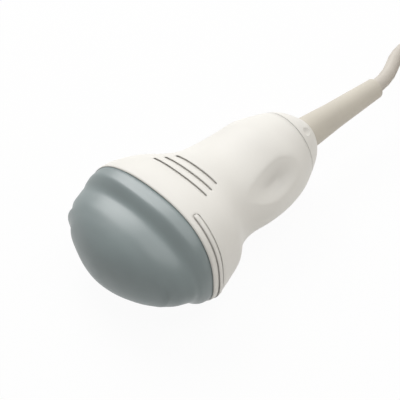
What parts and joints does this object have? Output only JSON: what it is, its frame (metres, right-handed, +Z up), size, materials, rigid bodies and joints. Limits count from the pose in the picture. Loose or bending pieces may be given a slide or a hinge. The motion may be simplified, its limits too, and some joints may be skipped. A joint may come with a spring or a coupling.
{
  "type": "ultrasound transducer probe",
  "caption": "Convex ultrasound probe: domed grey acoustic lens, waisted off-white handle with thumb grooves, tapered strain relief, cable put away in a tied coil and a locking system plug.",
  "frame": {"origin": "on the table under the middle of the probe, halfway from the lens tip to the end of the strain relief", "axes": "+X from the lens to the cable, Y across the wide head with the orientation bead on -Y, +Z up"},
  "size_m": [0.3291, 0.0908, 0.0393],
  "materials": {
    "lens_rubber": "matte",
    "housing_plastic": "satin",
    "boot_rubber": "matte",
    "seal_rubber": "matte",
    "matching_resin": "matte",
    "piezo_ceramic": "satin",
    "backing_resin": "matte",
    "frame_metal": "satin",
    "circuit_board": "satin",
    "socket_plastic": "satin",
    "flex_film": "satin",
    "screw_steel": "satin",
    "bush_brass": "satin",
    "screened_core": "satin",
    "cable_jacket": "satin",
    "tie_strap": "matte",
    "plug_plastic": "satin",
    "lever_plastic": "satin",
    "contact_plastic": "satin",
    "contact_metal": "polished"
  },
  "bodies": {
    "probe": {"acoustic_lens": "lens_rubber", "nose_seal": "seal_rubber", "outer_matching_layer": "matching_resin", "inner_matching_layer": "matching_resin", "piezo_array": "piezo_ceramic", "backing_block": "backing_resin", "array_frame": "frame_metal", "handle_shell": "housing_plastic", "rear_cap": "housing_plastic", "cap_seal": "seal_rubber", "cap_screws": "screw_steel", "screw_plugs": "housing_plastic", "strain_relief": "boot_rubber", "gland_bush": "bush_brass", "cable_core": "screened_core", "chassis": "frame_metal", "upper_board": "circuit_board", "lower_board": "circuit_board", "board_screws": "screw_steel", "flex_sockets": "socket_plastic", "signal_flex_upper": "flex_film", "signal_flex_lower": "flex_film", "wire_bundle": "screened_core", "cable": "cable_jacket", "cable_coil": "cable_jacket", "coil_tie": "tie_strap", "plug_lead": "cable_jacket", "plug_boot": "boot_rubber", "plug_lower_shell": "plug_plastic", "plug_upper_shell": "plug_plastic", "plug_screws": "screw_steel", "contact_block": "contact_plastic", "contact_blades": "contact_metal", "plug_board": "circuit_board", "plug_wires": "screened_core", "shaft_bush": "bush_brass"},
    "lock": {"lock_shaft": "screw_steel", "shaft_clip": "screw_steel", "lock_lever": "lever_plastic", "lever_screw": "screw_steel"}
  },
  "joints": [
    {"name": "lock_turn", "type": "hinge", "parent": "probe", "child": "lock", "pos_m": [0.22657, 0.00755, 0.03], "axis": [0, 0, 1], "range_deg": [0, 90]}
  ]
}
